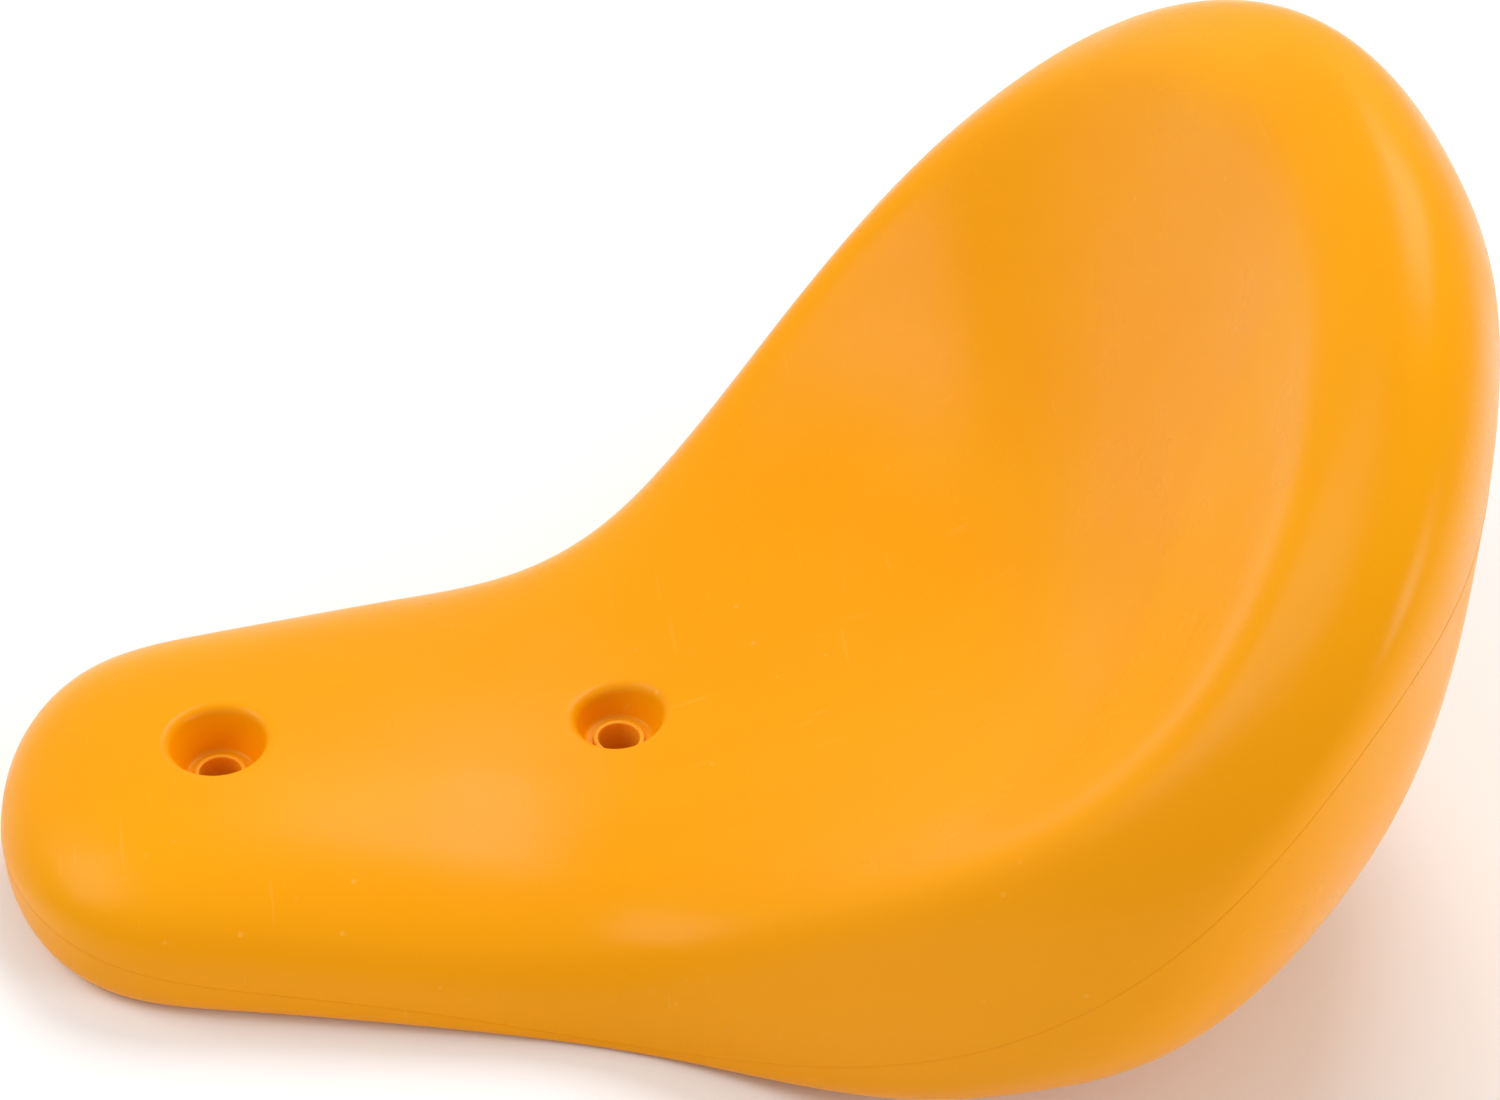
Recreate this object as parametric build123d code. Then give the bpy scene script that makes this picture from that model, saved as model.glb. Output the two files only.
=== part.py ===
from build123d import *
import math
import os

# Child's ride-on seat: a hollow blow-moulded body with a flat-bottomed nose and a dished
# back, and two spacer bushes that carry the bolts through the nose.
# Millimetres. +Z up, nose towards -Y, back towards +Y. The origin is midway between the
# two bolt holes, on the flat underside.

# ---- overall sizes ----
seat_length = 345.0          # nose tip to rear end, along Y
nose_overhang = 100.0        # nose tip to the middle of the bolt pattern
half_width = 139.0           # widest half width, across the dish
wall = 3.0                   # moulded wall thickness

# ---- bolt fixing ----
bolt_spacing = 95.0          # between the two holes, along Y
bolt_bore_radius = 5.0       # M8 bolt with room to line up
bush_outer_radius = 6.2
bush_lip_height = 0.8        # bush end standing proud of the well floor
flange_radius = 10.0
flange_thickness = 2.5
bush_clearance = 0.1         # radial room between a bush and its tunnel
well_floor_height = 25.5     # well floor above the underside
well_floor_radius = 8.3      # takes a 16 mm washer
well_draft = 17.0            # degrees, side wall from upright
well_mouth_rounding = 3.0
well_reach = 30.0            # cutter's height above the well floor, past the top skin

# ---- shape of the body, at stations along its length ----
# share of the length from the nose tip
station_share = [0.0, 0.06, 0.145, 0.29, 0.435, 0.58, 0.725, 0.84, 0.93, 1.0]
# half width, as a share of the widest, at the stations between the two ends
width_share = [0.33, 0.41, 0.49, 0.6, 0.84, 1.0, 0.89, 0.595]
nose_plan_radius = 69.0
rear_plan_radius = 41.0
# height of the mould parting line
parting_height = [15.0, 14.5, 11.0, 7.0, 4.5, 29.5, 81.0, 123.0, 132.5, 135.0]
# height that the outer roll would crown at on the centre line, between the two ends
crown_height = [37.0, 40.0, 40.5, 57.0, 106.0, 139.0, 171.5, 187.5]
# height of the dish on the centre line, and its rise out to the widest half width
dish_height = [40.0, 45.0, 50.0, 43.5, 34.5, 49.0, 76.0, 160.5, 250.0, 320.0]
dish_rise = [-35.0, -31.0, -25.0, -14.0, 13.5, 39.0, 67.5, 65.5, 83.0, 97.0]
# height of the rounded underside before it is levelled off at zero, between the two ends
underside_height = [-1.5, -1.5, -1.5, -1.5, -1.5, 2.0, 17.0, 40.0]

roll_power = 2.4             # fullness of the outer roll
nose_underside_power = 5.0   # squarer lower edge under the nose
rear_underside_power = 2.8   # rounder lower edge under the dish
underside_change_start = 40.0
underside_change_length = 90.0
nose_blend = 10.0            # softness of the line where the dish meets the roll
rear_blend = 4.0
blend_change_start = 60.0
blend_change_length = 120.0

section_count = 27
section_points = 72
end_flat = 0.3               # the two ends stop this far short, on a small flat

nose_tip = -nose_overhang
hole_places = {"front": -bolt_spacing / 2, "rear": bolt_spacing / 2}
bush_top = well_floor_height + bush_lip_height


def smooth_through(places, values):
    """A natural cubic curve through the values, as a function of place."""
    n = len(places)
    gap = [places[i + 1] - places[i] for i in range(n - 1)]
    slope = [(values[i + 1] - values[i]) / gap[i] for i in range(n - 1)]
    pivot = [1.0] * n
    right = [0.0] * n
    for i in range(1, n - 1):
        pivot[i] = 2 * (gap[i - 1] + gap[i])
        right[i] = 6 * (slope[i] - slope[i - 1])
        if i > 1:
            ratio = gap[i - 1] / pivot[i - 1]
            pivot[i] -= ratio * gap[i - 1]
            right[i] -= ratio * right[i - 1]
    bend = [0.0] * n
    for i in range(n - 2, 0, -1):
        bend[i] = (right[i] - gap[i] * bend[i + 1]) / pivot[i]

    def curve(place):
        i = 0
        while i < n - 2 and place > places[i + 1]:
            i += 1
        a = (places[i + 1] - place) / gap[i]
        b = 1 - a
        cubic = (a**3 - a) * bend[i] + (b**3 - b) * bend[i + 1]
        return a * values[i] + b * values[i + 1] + cubic * gap[i] ** 2 / 6

    return curve


def angle_of(share):
    """Turns a share of the length into an angle that closes both ends round."""
    return math.acos(1 - 2 * share)


def eased(value):
    value = min(max(value, 0.0), 1.0)
    return value * value * (3 - 2 * value)


station_angle = [angle_of(share) for share in station_share]
inner_round = [math.sin(angle) for angle in station_angle[1:-1]]
tip_widths = [math.sqrt(radius * seat_length / 2) for radius in (nose_plan_radius, rear_plan_radius)]


def padded(values):
    return [values[0]] + values + [values[-1]]


width_curve = smooth_through(
    station_angle,
    [tip_widths[0]] + [half_width * s / r for s, r in zip(width_share, inner_round)] + [tip_widths[1]],
)
parting_curve = smooth_through(station_angle, parting_height)
roll_curve = smooth_through(
    station_angle,
    padded([(c - p) / r for c, p, r in zip(crown_height, parting_height[1:-1], inner_round)]),
)
belly_curve = smooth_through(
    station_angle,
    padded([(p - u) / math.sqrt(r) for p, u, r in zip(parting_height[1:-1], underside_height, inner_round)]),
)
dish_curve = smooth_through(station_angle, dish_height)
rise_curve = smooth_through(station_angle, dish_rise)


def dish_level(x, y, inset):
    """Height of the dish at a place, lowered square to its slope when there is an inset."""

    def level(x, y):
        angle = angle_of((y - nose_tip) / seat_length)
        return dish_curve(angle) + rise_curve(angle) * (x / half_width) ** 2

    if not inset:
        return level(x, y)
    slope_along = (level(x, y + 1) - level(x, y - 1)) / 2
    slope_across = level(x + 0.5, y) - level(x - 0.5, y)
    return level(x, y) - inset * math.hypot(1, slope_along, slope_across)


def surface_point(angle, turn, inset=0.0):
    """A point of the skin: angle runs nose to rear, turn runs round the section."""
    turn = math.remainder(turn, 2 * math.pi)
    across = math.cos(turn)
    up = math.sin(turn)
    closing = math.sin(angle)
    y = nose_tip + inset + (seat_length - 2 * inset) * (1 - math.cos(angle)) / 2
    width = closing * (width_curve(angle) - inset)
    parting = parting_curve(angle)
    if up >= 0:
        power = 2 / roll_power
        x = width * math.copysign(abs(across) ** power, across)
        roll = parting + closing * (roll_curve(angle) - inset) * up**power
        dish = dish_level(x, y, inset)
        change = min(max((y - blend_change_start) / blend_change_length, 0.0), 1.0)
        blend = nose_blend + (rear_blend - nose_blend) * change
        low = min(roll, dish)
        dished = low - blend * math.log(math.exp((low - roll) / blend) + math.exp((low - dish) / blend))
        return Vector(x, y, roll + (dished - roll) * (1 - abs(across) ** 12))
    change = eased((y - underside_change_start) / underside_change_length)
    power = 2 / (nose_underside_power + (rear_underside_power - nose_underside_power) * change)
    x = width * math.copysign(abs(across) ** power, across)
    belly = math.sqrt(closing) * (belly_curve(angle) - inset)
    return Vector(x, y, parting - belly * abs(up) ** power)


def section(angle, inset):
    """One smooth closed outline round the body, starting over its middle."""
    turns = [math.pi * (2 * i / section_points + 0.5) for i in range(section_points)]
    points = [surface_point(angle, turn, inset) for turn in turns]
    spread = [i / section_points for i in range(section_points + 1)]
    return Wire([Edge.make_spline(points, periodic=True, parameters=spread)])


def body(inset=0.0):
    """The closed skin with a small flat at each end, or with an inset the hollow inside it."""
    first = angle_of(end_flat / seat_length)
    gap = (math.pi - 2 * first) / (section_count - 1)
    return Solid.make_loft([section(first + gap * i, inset) for i in range(section_count)])


def tapered(radius, low, high, widening=0.0):
    """A round block about the Z axis, from low to high, growing by widening on the way up.

    Its seam is turned to the body's own, over the middle, so the mouth can be rounded.
    """
    return Pos(0, 0, low) * Rot(0, 0, 90) * Solid.make_cone(radius, radius + widening, high - low)


def above(height):
    """Everything over a level, as a block that covers the whole seat."""
    size = 4 * seat_length
    return Pos(0, 0, height + size / 2) * Box(size, size, size)


def well_widening(low, high):
    return (high - low) * math.tan(math.radians(well_draft))


def well_space():
    """What a bolt well, its tunnel and its flange recess take out of the body."""
    top = well_floor_height + well_reach
    well = tapered(well_floor_radius, well_floor_height, top, well_widening(well_floor_height, top))
    tunnel = Solid.make_cylinder(bush_outer_radius + bush_clearance, well_floor_height)
    recess = Solid.make_cylinder(flange_radius + bush_clearance, flange_thickness)
    return well + tunnel + recess


def well_core():
    """The solid that stays round a well, one wall thicker than the space it takes."""
    top = well_floor_height + well_reach
    well = tapered(well_floor_radius + wall, well_floor_height - wall, top,
                   well_widening(well_floor_height - wall, top))
    tunnel = Solid.make_cylinder(bush_outer_radius + bush_clearance + wall, well_floor_height)
    recess = Solid.make_cylinder(flange_radius + bush_clearance + wall, flange_thickness + wall)
    return well + tunnel + recess


def mouth_edges(solid):
    """The edges where the side walls of the two wells break the top skin."""

    def on_a_wall(spot):
        reach = min(math.hypot(spot.X, spot.Y - y) for y in hole_places.values())
        wall_radius = well_floor_radius + well_widening(well_floor_height, spot.Z)
        return spot.Z > well_floor_height + wall and abs(reach - wall_radius) < wall / 4

    return solid.edges().filter_by(lambda edge: all(on_a_wall(edge @ t) for t in (0, 0.5, 1)))


def seat_shell():
    hollow = body(wall) & above(wall)
    for y in hole_places.values():
        hollow -= Pos(0, y, 0) * well_core()
    shell = (body() & above(0)) - hollow
    for y in hole_places.values():
        shell -= Pos(0, y, 0) * well_space()
    return shell.fillet(well_mouth_rounding, mouth_edges(shell))


def spacer_bush():
    """A tube with a foot flange, open right through for the bolt."""
    tube = Solid.make_cylinder(bush_outer_radius, bush_top)
    flange = Solid.make_cylinder(flange_radius, flange_thickness)
    return tube + flange - Solid.make_cylinder(bolt_bore_radius, bush_top)


parts = {"seat_shell": seat_shell()}
for name, y in hole_places.items():
    parts[name + "_spacer_bush"] = Pos(0, y, 0) * spacer_bush()

os.makedirs("parts", exist_ok=True)
for name, part in parts.items():
    part.label = name
    export_step(part, "parts/" + name + ".step")
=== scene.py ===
import math
from collections import namedtuple

import bmesh
import bpy
from mathutils import Matrix, Vector


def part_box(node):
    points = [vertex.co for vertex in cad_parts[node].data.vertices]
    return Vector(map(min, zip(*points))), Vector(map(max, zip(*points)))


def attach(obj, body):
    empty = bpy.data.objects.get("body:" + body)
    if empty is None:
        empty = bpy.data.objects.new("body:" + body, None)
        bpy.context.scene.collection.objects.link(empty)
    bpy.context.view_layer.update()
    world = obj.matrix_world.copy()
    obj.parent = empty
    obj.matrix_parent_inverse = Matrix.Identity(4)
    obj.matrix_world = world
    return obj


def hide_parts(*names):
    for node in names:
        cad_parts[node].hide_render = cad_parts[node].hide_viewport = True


# Child's ride-on seat: a blow-moulded orange skin with a flat-bottomed nose, a dished back
# and two bolt wells, each with a spacer bush. Shapes are worked out in millimetres and
# scaled to metres as their meshes are made. +Z up, nose towards -Y.

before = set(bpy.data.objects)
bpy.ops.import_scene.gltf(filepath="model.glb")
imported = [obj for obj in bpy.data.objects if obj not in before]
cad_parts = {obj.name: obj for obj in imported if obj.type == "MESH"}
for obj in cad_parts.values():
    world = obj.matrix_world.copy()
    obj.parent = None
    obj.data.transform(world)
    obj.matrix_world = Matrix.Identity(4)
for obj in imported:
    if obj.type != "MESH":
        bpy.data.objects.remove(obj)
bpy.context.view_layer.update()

MM = 0.001

# ---- overall sizes ----
seat_length = 345.0
nose_tip = -100.0
half_width = 139.0

# ---- bolt wells and bushes ----
well_floor_height = 25.5     # well floor above the underside
well_floor_radius = 8.3      # takes a 16 mm washer
well_draft = math.radians(17.0)
well_mouth_rounding = 3.0
well_floor_rounding = 1.2
well_patch = 17.6            # half side of the patch of skin that each well is let into
tunnel_radius = 6.3          # way down through the nose for the bush
recess_radius = 10.1         # room in the underside for the bush's flange
recess_depth = 2.5
bore_radius = 5.0
bush_outer_radius = 6.2
bush_edge_rounding = 0.3

# ---- mould line ----
bead_radius = 0.09

# ---- shape of the body, at stations along its length ----
# share of the length from the nose tip
station_share = [0.0, 0.06, 0.145, 0.29, 0.435, 0.58, 0.725, 0.84, 0.93, 1.0]
# half width, as a share of the widest, at the stations between the two ends
width_share = [0.33, 0.41, 0.49, 0.6, 0.84, 1.0, 0.89, 0.595]
nose_plan_radius = 69.0
rear_plan_radius = 41.0
# height of the mould parting line
parting_height = [15.0, 14.5, 11.0, 7.0, 4.5, 29.5, 81.0, 123.0, 132.5, 135.0]
# height that the outer roll would crown at on the centre line, between the two ends
crown_height = [37.0, 40.0, 40.5, 57.0, 106.0, 139.0, 171.5, 187.5]
# height of the dish on the centre line, and its rise out to the widest half width
dish_height = [40.0, 45.0, 50.0, 43.5, 34.5, 49.0, 76.0, 160.5, 250.0, 320.0]
dish_rise = [-35.0, -31.0, -25.0, -14.0, 13.5, 39.0, 67.5, 65.5, 83.0, 97.0]
# height of the rounded underside before it is levelled off at zero, between the two ends
underside_height = [-1.5, -1.5, -1.5, -1.5, -1.5, 2.0, 17.0, 40.0]

roll_power = 2.4             # fullness of the outer roll
nose_underside_power = 5.0   # squarer lower edge under the nose
rear_underside_power = 2.8   # rounder lower edge under the dish
underside_change_start = 40.0
underside_change_length = 90.0
nose_blend = 10.0            # softness of the line where the dish meets the roll
rear_blend = 4.0
blend_change_start = 60.0
blend_change_length = 120.0
ground_softness = 1.2        # how softly the rounded underside runs into the flat

# ---- fineness of the meshes ----
row_count = 252              # rows of points from the nose to the back
column_count = 288           # points in a row, once round the body
patch_shares = (0.25, 0.5, 0.75)     # loops of a patch, on the way from its edge to the well
mouth_search_steps = 14      # tries at where a well's drafted wall meets the curved skin
mouth_steps = 8
wall_steps = 6
floor_corner_steps = 5
tunnel_steps = 5
bush_segments = 96
bush_corner_points = 4
bead_steps = 180
bead_sides = 10
merge_distance = 1e-7        # metres
sharp_angle = math.radians(38)


# ---- the body's shape -------------------------------------------------------------------

def smooth_through(places, values):
    """A natural cubic curve through the values, as a function of place."""
    n = len(places)
    gap = [places[i + 1] - places[i] for i in range(n - 1)]
    slope = [(values[i + 1] - values[i]) / gap[i] for i in range(n - 1)]
    pivot = [1.0] * n
    right = [0.0] * n
    for i in range(1, n - 1):
        pivot[i] = 2 * (gap[i - 1] + gap[i])
        right[i] = 6 * (slope[i] - slope[i - 1])
        if i > 1:
            ratio = gap[i - 1] / pivot[i - 1]
            pivot[i] -= ratio * gap[i - 1]
            right[i] -= ratio * right[i - 1]
    bend = [0.0] * n
    for i in range(n - 2, 0, -1):
        bend[i] = (right[i] - gap[i] * bend[i + 1]) / pivot[i]

    def curve(place):
        i = 0
        while i < n - 2 and place > places[i + 1]:
            i += 1
        a = (places[i + 1] - place) / gap[i]
        b = 1 - a
        cubic = (a**3 - a) * bend[i] + (b**3 - b) * bend[i + 1]
        return a * values[i] + b * values[i + 1] + cubic * gap[i] ** 2 / 6

    return curve


def angle_of(share):
    """Turns a share of the length into an angle that closes both ends round."""
    return math.acos(min(max(1 - 2 * share, -1.0), 1.0))


def eased(value):
    """Goes from 0 to 1 with a soft start and a soft end."""
    value = min(max(value, 0.0), 1.0)
    return value * value * (3 - 2 * value)


def padded(values):
    """Repeats the first and last value, for the two ends that a list leaves out."""
    return [values[0]] + values + [values[-1]]


station_angle = [angle_of(share) for share in station_share]
inner_round = [math.sin(angle) for angle in station_angle[1:-1]]
tip_widths = [math.sqrt(radius * seat_length / 2) for radius in (nose_plan_radius, rear_plan_radius)]
inner_parting = parting_height[1:-1]

width_curve = smooth_through(
    station_angle,
    [tip_widths[0]] + [half_width * s / r for s, r in zip(width_share, inner_round)] + [tip_widths[1]],
)
parting_curve = smooth_through(station_angle, parting_height)
roll_curve = smooth_through(
    station_angle, padded([(c - p) / r for c, p, r in zip(crown_height, inner_parting, inner_round)]))
belly_curve = smooth_through(
    station_angle,
    padded([(p - u) / math.sqrt(r) for p, u, r in zip(inner_parting, underside_height, inner_round)]))
dish_curve = smooth_through(station_angle, dish_height)
rise_curve = smooth_through(station_angle, dish_rise)

Slice = namedtuple("Slice", "y width parting roll belly dish rise blend power")


def slice_at(y):
    """What shapes the body's outline across, at one place along it."""
    angle = angle_of((y - nose_tip) / seat_length)
    closing = math.sin(angle)
    firming = min(max((y - blend_change_start) / blend_change_length, 0.0), 1.0)
    rounding = eased((y - underside_change_start) / underside_change_length)
    return Slice(
        y=y,
        width=closing * width_curve(angle),
        parting=parting_curve(angle),
        roll=closing * roll_curve(angle),
        belly=math.sqrt(closing) * belly_curve(angle),
        dish=dish_curve(angle),
        rise=rise_curve(angle),
        blend=nose_blend + (rear_blend - nose_blend) * firming,
        power=nose_underside_power + (rear_underside_power - nose_underside_power) * rounding,
    )


def top_height(cut, x):
    """Height of the upper skin: the outer roll, softly cut down to the dish."""
    side = min(abs(x) / cut.width, 1.0)
    roll = cut.parting + cut.roll * (1 - side**roll_power) ** (1 / roll_power)
    dish = cut.dish + cut.rise * (x / half_width) ** 2
    low = min(roll, dish)
    joined = math.exp((low - roll) / cut.blend) + math.exp((low - dish) / cut.blend)
    dished = low - cut.blend * math.log(joined)
    return roll + (dished - roll) * (1 - side ** (6 * roll_power))


def levelled(z):
    """Lets the rounded underside run softly into the flat that the seat stands on."""
    if z >= ground_softness:
        return z
    return max(z + ground_softness, 0.0) ** 2 / (4 * ground_softness)


def skin_point(cut, turn):
    """A point of the skin; turn is the direction seen from inside the outline."""
    power = roll_power if math.sin(turn) >= 0 else cut.power
    reach = (abs(math.cos(turn)) ** power + abs(math.sin(turn)) ** power) ** (-1 / power)
    x = cut.width * math.cos(turn) * reach
    if math.sin(turn) >= 0:
        return Vector((x, cut.y, top_height(cut, x)))
    return Vector((x, cut.y, levelled(cut.parting - cut.belly * abs(math.sin(turn)) * reach)))


# ---- meshes -----------------------------------------------------------------------------

def finished_object(name, mesh, material):
    """Smooth faces with crisp edges, facing outwards, in one material."""
    build = bmesh.new()
    build.from_mesh(mesh)
    bmesh.ops.remove_doubles(build, verts=build.verts, dist=merge_distance)
    bmesh.ops.recalc_face_normals(build, faces=build.faces)
    build.to_mesh(mesh)
    build.free()
    for face in mesh.polygons:
        face.use_smooth = True
        face.material_index = 0
    mesh.set_sharp_from_angle(angle=sharp_angle)
    mesh.materials.clear()
    mesh.materials.append(material)
    piece = bpy.data.objects.new(name, mesh)
    bpy.context.scene.collection.objects.link(piece)
    return piece


def corner_curve(start, corner, end, handle, steps):
    """Rounded way from start to end round a corner, without its first point."""
    first = start.lerp(corner, handle)
    second = end.lerp(corner, handle)
    way = []
    for i in range(1, steps + 1):
        t = i / steps
        s = 1 - t
        way.append(start * s**3 + first * 3 * s * s * t + second * 3 * s * t * t + end * t**3)
    return way


def well_profile(y, direction):
    """Radius and height down a bolt well, one way round from its axis."""
    def surface(radius):
        cut = slice_at(y + radius * math.sin(direction))
        return top_height(cut, radius * math.cos(direction))

    widening = math.tan(well_draft)
    mouth = well_floor_radius
    for _ in range(mouth_search_steps):
        mouth = well_floor_radius + (surface(mouth) - well_floor_height) * widening
    # the mouth and the floor corner turn by this angle; the handle keeps their curves near an arc
    turned = math.pi / 2 - well_draft
    run = math.tan(turned / 2)
    handle = 4 / 3 * math.tan(turned / 4) / run
    down = Vector((-math.sin(well_draft), -math.cos(well_draft)))

    corner = Vector((mouth, surface(mouth)))
    mouth_run = well_mouth_rounding * run
    lip = Vector((mouth + mouth_run, surface(mouth + mouth_run)))
    way = [lip]
    way += corner_curve(lip, corner, corner + down * mouth_run, handle, mouth_steps)

    floor_corner = Vector((well_floor_radius, well_floor_height))
    floor_run = well_floor_rounding * run
    wall_end = floor_corner - down * floor_run
    wall_start = way[-1]
    floor_start = floor_corner - Vector((floor_run, 0))
    way += [wall_start.lerp(wall_end, i / wall_steps) for i in range(1, wall_steps + 1)]
    way += corner_curve(wall_end, floor_corner, floor_start, handle, floor_corner_steps)

    way.append(Vector((tunnel_radius, well_floor_height)))
    tunnel_drop = recess_depth - well_floor_height
    way += [Vector((tunnel_radius, well_floor_height + tunnel_drop * i / tunnel_steps))
            for i in range(1, tunnel_steps + 1)]
    way += [Vector((recess_radius, recess_depth)), Vector((recess_radius, 0))]
    return way


class Skin:
    """The skin's points and faces as they are put together."""

    def __init__(self, points):
        self.points = points
        self.faces = []

    def added(self, places):
        """Adds points and gives their numbers."""
        start = len(self.points)
        self.points.extend(places)
        return list(range(start, len(self.points)))

    def strip(self, first, second):
        """A closed strip of faces between two loops of points."""
        count = len(first)
        for k in range(count):
            self.faces.append((first[k], first[(k + 1) % count], second[(k + 1) % count], second[k]))


def point_at(row, column):
    """Number of the point in a row and a column; the columns go round and round."""
    return row * column_count + column % column_count


def let_in_well(skin, cuts, y):
    """Runs a well through the skin; gives the row and column of each face that it replaces."""
    near = [row for row in range(len(cuts)) if abs(cuts[row].y - y) < well_patch]
    low, high = near[0], near[-1]
    middle = column_count // 4
    step = cuts[(low + high) // 2].width * 2 * math.pi / column_count
    reach = round(well_patch / step)
    edge = [(low, column) for column in range(middle - reach, middle + reach)]
    edge += [(row, middle + reach) for row in range(low, high)]
    edge += [(high, column) for column in range(middle + reach, middle - reach, -1)]
    edge += [(row, middle - reach) for row in range(high, low, -1)]
    top_loop = [point_at(row, column) for row, column in edge]
    under_loop = [point_at(row, column_count - column) for row, column in edge]

    directions = [math.atan2(skin.points[k].y - y, skin.points[k].x) for k in top_loop]
    ways = [well_profile(y, direction) for direction in directions]

    def ring(depth):
        return [Vector((way[depth].x * math.cos(direction), y + way[depth].x * math.sin(direction),
                        way[depth].y)) for way, direction in zip(ways, directions)]

    outer = top_loop
    lip = ring(0)
    for share in patch_shares:
        places = []
        for k, point in zip(top_loop, lip):
            place = skin.points[k].lerp(point, share)
            place.z = top_height(slice_at(place.y), place.x)
            places.append(place)
        inner = skin.added(places)
        skin.strip(outer, inner)
        outer = inner
    for depth in range(len(ways[0])):
        inner = skin.added(ring(depth))
        skin.strip(outer, inner)
        outer = inner
    skin.strip(outer, under_loop)

    taken = set()
    for row in range(low, high):
        for column in range(middle - reach, middle + reach):
            taken.add((row, column))
            taken.add((row, column_count - 1 - column))
    return taken


def slices_along(angles):
    """Slices from the nose to the back, closer together towards both ends."""
    return [slice_at(nose_tip + seat_length * (1 - math.cos(angle)) / 2) for angle in angles]


def seat_skin_mesh(well_places):
    """The whole moulded skin, closed, with the two wells running through to the underside."""
    turns = [2 * math.pi * j / column_count for j in range(column_count)]
    cuts = slices_along([math.pi * i / row_count for i in range(1, row_count)])
    skin = Skin([skin_point(cut, turn) for cut in cuts for turn in turns])
    taken = set()
    for y in well_places:
        taken |= let_in_well(skin, cuts, y)

    last = len(cuts) - 1
    for row in range(last):
        for column in range(column_count):
            if (row, column) not in taken:
                skin.faces.append((point_at(row, column), point_at(row + 1, column),
                                   point_at(row + 1, column + 1), point_at(row, column + 1)))
    for row, y in ((0, nose_tip), (last, nose_tip + seat_length)):
        pole = skin.added([Vector((0, y, slice_at(y).parting))])[0]
        for column in range(column_count):
            skin.faces.append((pole, point_at(row, column), point_at(row, column + 1)))

    mesh = bpy.data.meshes.new("seat_skin")
    mesh.from_pydata([point * MM for point in skin.points], [], skin.faces)
    build = bmesh.new()
    build.from_mesh(mesh)
    loose = [vertex for vertex in build.verts if not vertex.link_faces]
    bmesh.ops.delete(build, geom=loose, context="VERTS")
    build.to_mesh(mesh)
    build.free()
    return mesh


def parting_loop_mesh():
    """A closed loop of edges where the upper and lower halves of the skin meet."""
    cuts = slices_along([math.pi * i / bead_steps for i in range(1, bead_steps)])
    points = [Vector((cut.width, cut.y, cut.parting)) for cut in cuts]
    points += [Vector((-cut.width, cut.y, cut.parting)) for cut in reversed(cuts)]
    edges = [(i, (i + 1) % len(points)) for i in range(len(points))]
    mesh = bpy.data.meshes.new("mould_line_path")
    mesh.from_pydata([point * MM for point in points], edges, [])
    return mesh


# ---- geometry nodes ---------------------------------------------------------------------

class Tree:
    """Adds and joins the nodes of one tree; a keyword such as i2 feeds the socket of that number."""

    def __init__(self, name, kind, inputs, outputs):
        self.tree = bpy.data.node_groups.new(name, kind)
        for label, socket in inputs:
            self.tree.interface.new_socket(name=label, in_out="INPUT", socket_type=socket)
        for label, socket in outputs:
            self.tree.interface.new_socket(name=label, in_out="OUTPUT", socket_type=socket)
        self.given = self.tree.nodes.new("NodeGroupInput").outputs
        self.result = self.tree.nodes.new("NodeGroupOutput").inputs

    def node(self, kind, settings=None, **inputs):
        node = self.tree.nodes.new(kind)
        for name, value in (settings or {}).items():
            setattr(node, name, value)
        for name, value in inputs.items():
            key = int(name[1:]) if name[0] == "i" and name[1:].isdigit() else name.replace("_", " ")
            self.feed(node.inputs[key], value)
        return node

    def feed(self, socket, value):
        if isinstance(value, bpy.types.NodeSocket):
            self.tree.links.new(value, socket)
        elif isinstance(value, bpy.types.Node):
            self.tree.links.new(value.outputs[0], socket)
        else:
            socket.default_value = value


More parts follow.
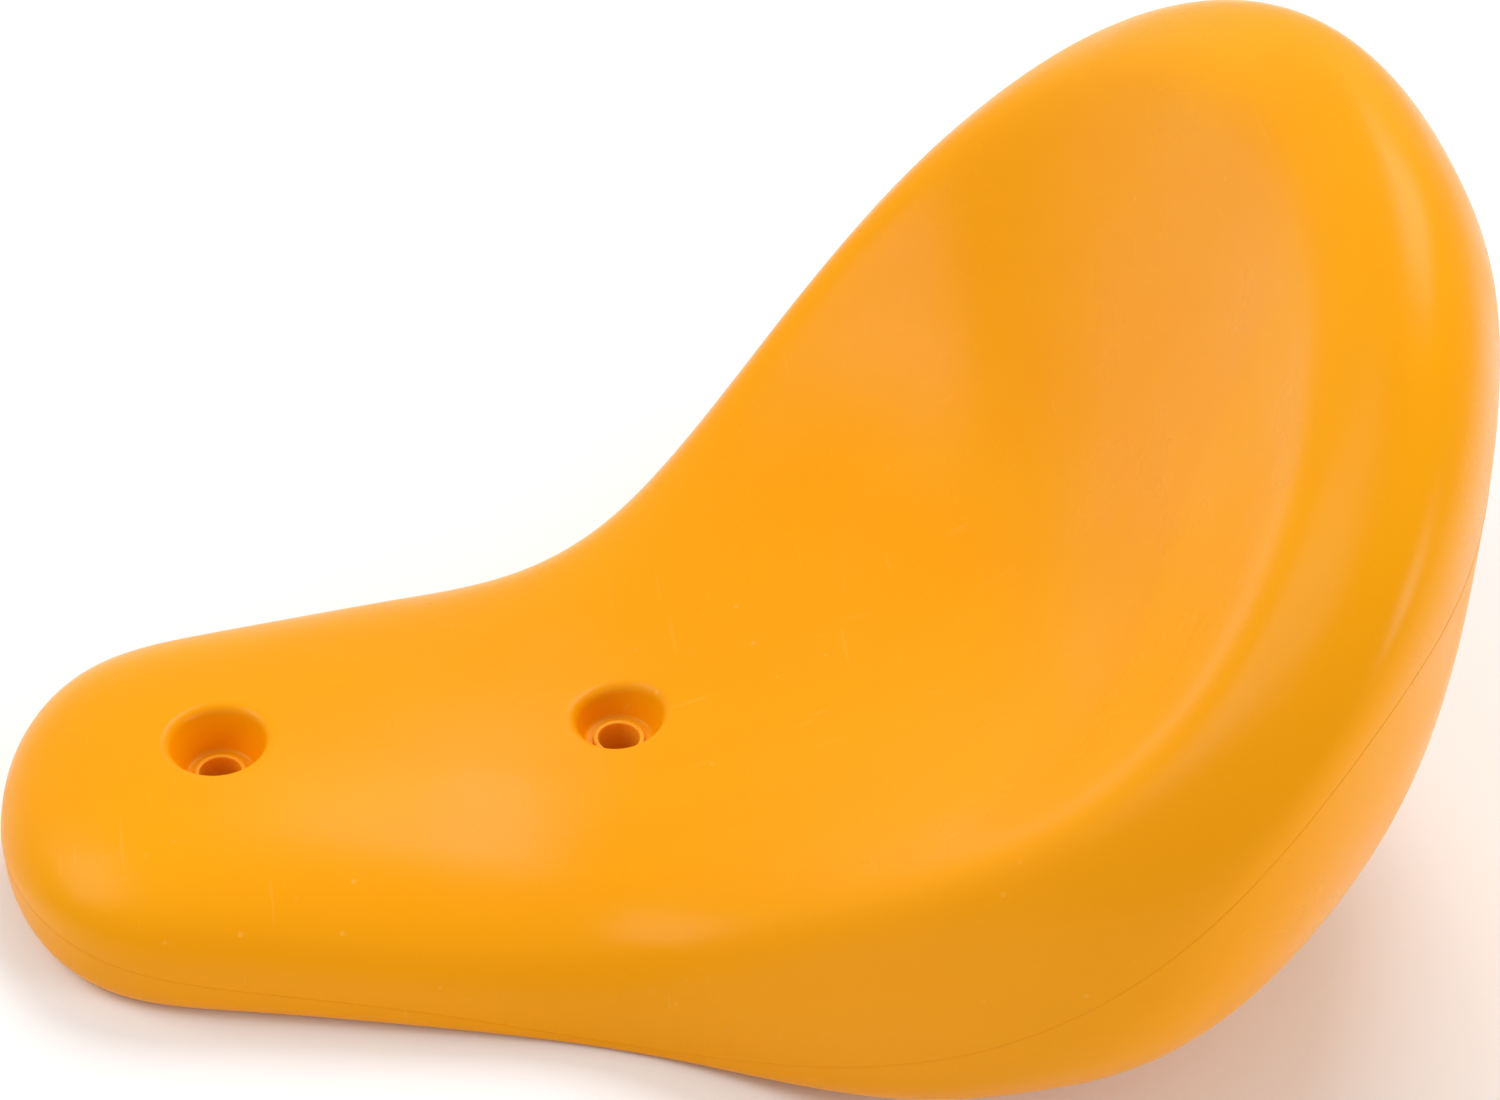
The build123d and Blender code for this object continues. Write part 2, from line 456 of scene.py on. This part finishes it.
def spacer_bush_tree():
    """A flanged bush: its section is drawn from its sizes, rounded, and turned round Z."""
    make = Tree("spacer_bush", "GeometryNodeTree", [
        ("Geometry", "NodeSocketGeometry"), ("Bore Radius", "NodeSocketFloat"),
        ("Tube Radius", "NodeSocketFloat"), ("Tube Height", "NodeSocketFloat"),
        ("Flange Radius", "NodeSocketFloat"), ("Flange Thickness", "NodeSocketFloat"),
        ("Edge Rounding", "NodeSocketFloat"), ("Corner Points", "NodeSocketInt"),
        ("Place", "NodeSocketVector"), ("Segments", "NodeSocketInt"),
        ("Material", "NodeSocketMaterial"),
    ], [("Geometry", "NodeSocketGeometry")])
    size = make.given
    corners = [
        (size["Bore Radius"], 0.0), (size["Flange Radius"], 0.0),
        (size["Flange Radius"], size["Flange Thickness"]),
        (size["Tube Radius"], size["Flange Thickness"]),
        (size["Tube Radius"], size["Tube Height"]), (size["Bore Radius"], size["Tube Height"]),
    ]
    choose = make.tree.nodes.new("GeometryNodeIndexSwitch")
    choose.data_type = "VECTOR"
    while len(choose.index_switch_items) < len(corners):
        choose.index_switch_items.new()
    make.feed(choose.inputs[0], make.node("GeometryNodeInputIndex"))
    for i, (radius, height) in enumerate(corners):
        make.feed(choose.inputs[i + 1], make.node("ShaderNodeCombineXYZ", X=radius, Y=height))
    # the turning path takes the section's Y as downwards
    flipped = make.node("ShaderNodeVectorMath", {"operation": "MULTIPLY"}, i0=choose, i1=(1, -1, 1))
    outline = make.node("GeometryNodeCurvePrimitiveCircle", Resolution=len(corners))
    placed = make.node("GeometryNodeSetPosition", Geometry=outline, Position=flipped)
    rounded = make.node("GeometryNodeFilletCurve", {"mode": "POLY"}, Curve=placed,
                        Radius=size["Edge Rounding"], Count=size["Corner Points"], Limit_Radius=True)
    # a path of next to no radius, so that the section's own radii are the bush's
    path = make.node("GeometryNodeCurvePrimitiveCircle", Resolution=size["Segments"], Radius=1e-6)
    turned = make.node("GeometryNodeCurveToMesh", Curve=path, Profile_Curve=rounded)
    moved = make.node("GeometryNodeTransform", Geometry=turned, Translation=size["Place"])
    plain = make.node("GeometryNodeRealizeInstances", Geometry=moved)
    painted = make.node("GeometryNodeSetMaterial", Geometry=plain, Material=size["Material"])
    make.feed(make.result[0], painted)
    return make.tree


def mould_line_tree():
    """A fine bead swept along the line where the two halves of the mould met."""
    make = Tree("mould_line", "GeometryNodeTree", [
        ("Geometry", "NodeSocketGeometry"), ("Bead Radius", "NodeSocketFloat"),
        ("Bead Sides", "NodeSocketInt"), ("Material", "NodeSocketMaterial"),
    ], [("Geometry", "NodeSocketGeometry")])
    path = make.node("GeometryNodeMeshToCurve", Mesh=make.given["Geometry"])
    section = make.node("GeometryNodeCurvePrimitiveCircle", Resolution=make.given["Bead Sides"],
                        Radius=make.given["Bead Radius"])
    bead = make.node("GeometryNodeCurveToMesh", Curve=path, Profile_Curve=section)
    plain = make.node("GeometryNodeRealizeInstances", Geometry=bead)
    painted = make.node("GeometryNodeSetMaterial", Geometry=plain, Material=make.given["Material"])
    make.feed(make.result[0], painted)
    return make.tree


def baked(name, mesh, tree, material, values):
    """Runs a tree on a mesh and keeps what it makes as a plain piece."""
    base = bpy.data.objects.new(name + "_base", mesh)
    bpy.context.scene.collection.objects.link(base)
    modifier = base.modifiers.new("make", "NODES")
    modifier.node_group = tree
    values = dict(values, Material=material)
    for item in tree.interface.items_tree:
        if item.in_out == "INPUT" and item.name in values:
            modifier[item.identifier] = values[item.name]
    depsgraph = bpy.context.evaluated_depsgraph_get()
    made = bpy.data.meshes.new_from_object(base.evaluated_get(depsgraph), depsgraph=depsgraph)
    made.name = name
    bpy.data.objects.remove(base)
    return finished_object(name, made, material)


# ---- materials --------------------------------------------------------------------------

mark_dulling = 0.22          # how much rougher a full speck or scuff is
pore_share = 0.35            # the pores' height as a share of the grain's
scuff_depth = 0.03


def moulded_marks_group():
    """What moulded plastic shows up close: drifts of colour, specks, scuffs and a fine grain."""
    make = Tree("moulded_marks", "ShaderNodeTree", [
        ("Position", "NodeSocketVector"), ("Colour", "NodeSocketColor"),
        ("Drift Colour", "NodeSocketColor"), ("Scuff Colour", "NodeSocketColor"),
        ("Drift", "NodeSocketFloat"), ("Specks", "NodeSocketFloat"), ("Scuffs", "NodeSocketFloat"),
        ("Gloss Low", "NodeSocketFloat"), ("Gloss High", "NodeSocketFloat"),
        ("Grain", "NodeSocketFloat"), ("Waviness", "NodeSocketFloat"),
    ], [("Colour", "NodeSocketColor"), ("Roughness", "NodeSocketFloat"), ("Height", "NodeSocketFloat")])
    given = make.given
    place = given["Position"]

    def noise(scale, detail=2.0, turned=(0, 0, 0), squeezed=None, distortion=0.0):
        spot = place
        if squeezed:
            spot = make.node("ShaderNodeMapping", Vector=place, Rotation=turned, Scale=squeezed)
        return make.node("ShaderNodeTexNoise", Vector=spot, Scale=scale, Detail=detail,
                         Distortion=distortion)

    def mask(value, low, high):
        return make.node("ShaderNodeMapRange", {"interpolation_type": "SMOOTHSTEP"}, Value=value,
                         From_Min=low, From_Max=high)

    def times(a, b):
        return make.node("ShaderNodeMath", {"operation": "MULTIPLY"}, i0=a, i1=b)

    def plus(a, b):
        return make.node("ShaderNodeMath", {"operation": "ADD"}, i0=a, i1=b)

    def most(a, b):
        return make.node("ShaderNodeMath", {"operation": "MAXIMUM"}, i0=a, i1=b)

    def mixed(amount, a, b):
        return make.node("ShaderNodeMix", {"data_type": "RGBA"}, i0=amount, i6=a, i7=b).outputs[2]

    # slow drifts of colour, drawn out along the way that the plastic flowed
    flow = noise(scale=9.0, detail=3.0, squeezed=(1.0, 0.45, 1.3), distortion=0.6)
    drift = times(mask(flow, low=0.38, high=0.68), given["Drift"])
    tinted = mixed(drift, given["Colour"], given["Drift Colour"])

    # pin-head specks, only here and there
    cells = make.node("ShaderNodeTexVoronoi", Vector=place, Scale=95.0)
    patchy = mask(noise(scale=17.0), low=0.52, high=0.62)
    dots = mask(cells.outputs["Distance"], low=0.075, high=0.045)
    speck = times(times(dots, patchy), given["Specks"])

    # hair scuffs in two directions, gathered in patches
    streaks = noise(scale=30.0, detail=1.0, turned=(0.1, 0.2, 0.5), squeezed=(22.0, 0.8, 6.0))
    crossed = noise(scale=26.0, detail=1.0, turned=(0.4, 0.1, -0.9), squeezed=(1.0, 24.0, 5.0))
    along = mask(streaks, low=0.735, high=0.765)
    across = mask(crossed, low=0.735, high=0.765)
    handled = mask(noise(scale=12.0), low=0.47, high=0.62)
    scuff = times(times(most(along, across), handled), given["Scuffs"])

    marks = most(speck, scuff)
    coloured = mixed(marks, tinted, given["Scuff Colour"])

    # gloss: satin all over in soft clouds, duller on the specks and scuffs
    cloudy = mask(noise(scale=34.0, detail=3.0), low=0.35, high=0.7)
    gloss = make.node("ShaderNodeMapRange", Value=cloudy, To_Min=given["Gloss Low"],
                      To_Max=given["Gloss High"])
    rough = plus(gloss, times(marks, mark_dulling))

    # relief in millimetres: a faint grain and pores on slow waves, with the scuffs cut in
    peel = times(noise(scale=620.0), given["Grain"])
    pores = times(noise(scale=2300.0, detail=1.0), times(given["Grain"], pore_share))
    waves = times(noise(scale=19.0, detail=1.0), given["Waviness"])
    relief = plus(plus(peel, pores), plus(waves, times(scuff, -scuff_depth)))

    make.feed(make.result["Colour"], coloured)
    make.feed(make.result["Roughness"], rough)
    make.feed(make.result["Height"], relief)
    return make.tree


def moulded_plastic(name, marks, values, specular, glow):
    """Satin plastic that lets a little light in, with its marks from the shared group."""
    material = bpy.data.materials.new(name)
    material.use_nodes = True
    nodes, links = material.node_tree.nodes, material.node_tree.links
    nodes.clear()
    where = nodes.new("ShaderNodeTexCoord")
    group = nodes.new("ShaderNodeGroup")
    group.node_tree = marks
    for label, value in values.items():
        group.inputs[label].default_value = value
    shader = nodes.new("ShaderNodeBsdfPrincipled")
    bump = nodes.new("ShaderNodeBump")
    output = nodes.new("ShaderNodeOutputMaterial")
    bump.inputs["Distance"].default_value = MM
    shader.inputs["IOR"].default_value = 1.5
    shader.inputs["Specular IOR Level"].default_value = specular
    shader.inputs["Subsurface Weight"].default_value = glow
    shader.inputs["Subsurface Scale"].default_value = 0.004
    shader.inputs["Subsurface Radius"].default_value = (1.0, 0.45, 0.08)
    links.new(where.outputs["Object"], group.inputs["Position"])
    links.new(group.outputs["Colour"], shader.inputs["Base Color"])
    links.new(group.outputs["Roughness"], shader.inputs["Roughness"])
    links.new(group.outputs["Height"], bump.inputs["Height"])
    links.new(bump.outputs["Normal"], shader.inputs["Normal"])
    links.new(shader.outputs["BSDF"], output.inputs["Surface"])
    return material


marks_group = moulded_marks_group()
orange_moulding = moulded_plastic("orange_moulding", marks_group, {
    "Colour": (0.91, 0.345, 0.0, 1), "Drift Colour": (0.93, 0.378, 0.0, 1),
    "Scuff Colour": (1.0, 0.50, 0.09, 1), "Drift": 0.8, "Specks": 0.35, "Scuffs": 0.15,
    "Gloss Low": 0.27, "Gloss High": 0.35, "Grain": 0.012, "Waviness": 0.55,
}, specular=0.13, glow=0.05)
orange_bush = moulded_plastic("orange_bush", marks_group, {
    "Colour": (0.95, 0.37, 0.01, 1), "Drift Colour": (0.96, 0.40, 0.015, 1),
    "Scuff Colour": (1.0, 0.55, 0.15, 1), "Drift": 0.5, "Specks": 0.2, "Scuffs": 0.4,
    "Gloss Low": 0.36, "Gloss High": 0.46, "Grain": 0.008, "Waviness": 0.0,
}, specular=0.2, glow=0.5)

pale_floor = bpy.data.materials.new("pale_floor")
pale_floor.use_nodes = True
floor_shader = pale_floor.node_tree.nodes["Principled BSDF"]
floor_shader.inputs["Base Color"].default_value = (0.93, 0.93, 0.93, 1)
floor_shader.inputs["Roughness"].default_value = 0.9
floor_shader.inputs["Specular IOR Level"].default_value = 0.1


# ---- pieces -----------------------------------------------------------------------------

bush_boxes = {name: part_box(name) for name in ("front_spacer_bush", "rear_spacer_bush")}
well_places = [(low[1] + high[1]) / 2 / MM for low, high in bush_boxes.values()]

seat_skin = finished_object("seat_skin", seat_skin_mesh(well_places), orange_moulding)
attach(seat_skin, "root")
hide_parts("seat_shell")

bush_tree = spacer_bush_tree()
for name, (low, high) in bush_boxes.items():
    blank = bpy.data.meshes.new(name + "_blank")
    bush = baked(name.replace("_bush", ""), blank, bush_tree, orange_bush, {
        "Bore Radius": bore_radius * MM,
        "Tube Radius": bush_outer_radius * MM,
        "Tube Height": high[2] - low[2],
        "Flange Radius": (high[0] - low[0]) / 2,
        "Flange Thickness": recess_depth * MM,
        "Edge Rounding": bush_edge_rounding * MM,
        "Corner Points": bush_corner_points,
        "Place": (0.0, (low[1] + high[1]) / 2, low[2]),
        "Segments": bush_segments,
    })
    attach(bush, "root")
    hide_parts(name)

mould_line = baked("mould_line", parting_loop_mesh(), mould_line_tree(), orange_moulding,
                   {"Bead Radius": bead_radius * MM, "Bead Sides": bead_sides})
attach(mould_line, "root")


# ---- floor, light and camera ------------------------------------------------------------

floor_half = 6.0
floor_mesh = bpy.data.meshes.new("floor")
floor_mesh.from_pydata([(-floor_half, -floor_half, 0), (floor_half, -floor_half, 0),
                        (floor_half, floor_half, 0), (-floor_half, floor_half, 0)], [], [(0, 1, 2, 3)])
floor_mesh.materials.append(pale_floor)
floor = bpy.data.objects.new("floor", floor_mesh)
bpy.context.scene.collection.objects.link(floor)

world = bpy.data.worlds.new("studio")
world.use_nodes = True
world.node_tree.nodes["Background"].inputs["Color"].default_value = (1, 1, 1, 1)
world.node_tree.nodes["Background"].inputs["Strength"].default_value = 0.55
bpy.context.scene.world = world
bpy.context.scene.view_settings.view_transform = "Standard"

middle = Vector((0, 78.5, 81.1)) * MM        # what the lights and the camera face


def soft_light(name, place, size, power):
    """A square soft box that faces the seat; metres and watts."""
    light = bpy.data.lights.new(name, "AREA")
    light.shape = "SQUARE"
    light.size = size
    light.energy = power
    lamp = bpy.data.objects.new(name, light)
    place = Vector(place)
    facing = (place - middle).to_track_quat("Z", "Y").to_matrix().to_4x4()
    lamp.matrix_world = Matrix.Translation(place) @ facing
    bpy.context.scene.collection.objects.link(lamp)


soft_light("far_box", place=(-0.8, 0.45, 1.4), size=0.75, power=11.5)
soft_light("nose_box", place=(-0.2, -1.1, 1.2), size=0.9, power=9.0)
soft_light("rear_box", place=(0.9, 1.4, 0.7), size=0.6, power=8.0)

azimuth = math.radians(81.2)
elevation = math.radians(39.4)
roll = math.radians(-1.0)
distance = 0.897
focal_length = 92.9
sensor_width = 36.0
right = Vector((math.cos(azimuth), math.sin(azimuth), 0))
back = Vector((math.sin(azimuth) * math.cos(elevation), -math.cos(azimuth) * math.cos(elevation),
               math.sin(elevation)))
up = back.cross(right)
camera_x = right * math.cos(roll) - up * math.sin(roll)
camera_y = right * math.sin(roll) + up * math.cos(roll)
camera_data = bpy.data.cameras.new("studio_camera")
camera_data.sensor_width = sensor_width
camera_data.lens = focal_length
camera = bpy.data.objects.new("studio_camera", camera_data)
aimed = Matrix((camera_x, camera_y, back)).transposed().to_4x4()
camera.matrix_world = Matrix.Translation(middle + back * distance) @ aimed
bpy.context.scene.collection.objects.link(camera)
bpy.context.scene.camera = camera
